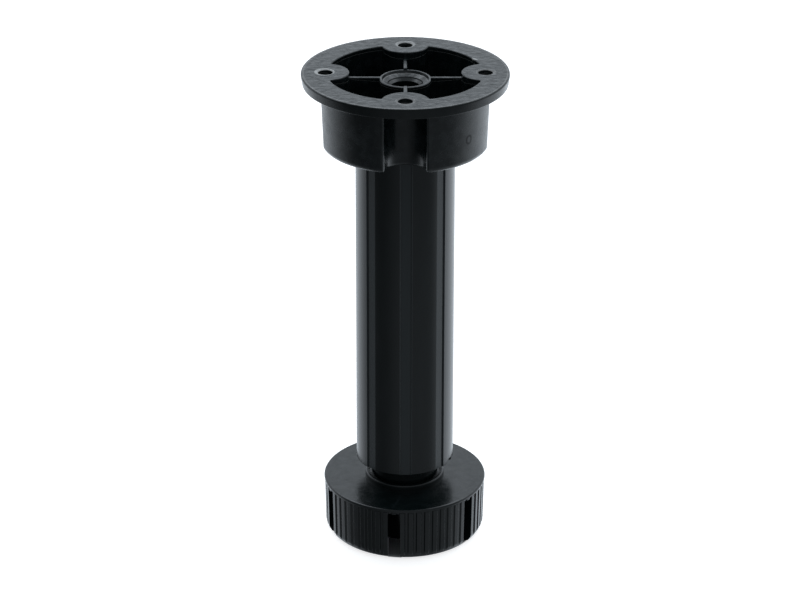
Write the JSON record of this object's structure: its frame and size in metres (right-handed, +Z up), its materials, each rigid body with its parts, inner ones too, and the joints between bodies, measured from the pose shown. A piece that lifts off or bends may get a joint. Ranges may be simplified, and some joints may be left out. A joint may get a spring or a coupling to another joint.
{
  "type": "adjustable cabinet leg",
  "caption": "Black plastic cabinet leg: round screw-on flange over an open webbed cup, grooved tube, and a ribbed foot that screws in and out to set the height.",
  "frame": {"origin": "centre of the foot's underside, where the leg's axis meets the floor", "axes": "+Z up the leg's axis to the flange, -Y the side that faces the viewer of the picture"},
  "size_m": [0.0614, 0.0614, 0.15],
  "materials": {
    "black_plastic": "satin moulded"
  },
  "bodies": {
    "leg": {"mounting_head": "black_plastic", "leg_tube": "black_plastic"},
    "foot": {"adjusting_foot": "black_plastic"}
  },
  "joints": [
    {"name": "height_screw", "type": "slide", "parent": "leg", "child": "foot", "axis": [0, 0, 1], "range_m": [-0.02, 0.0045]}
  ]
}
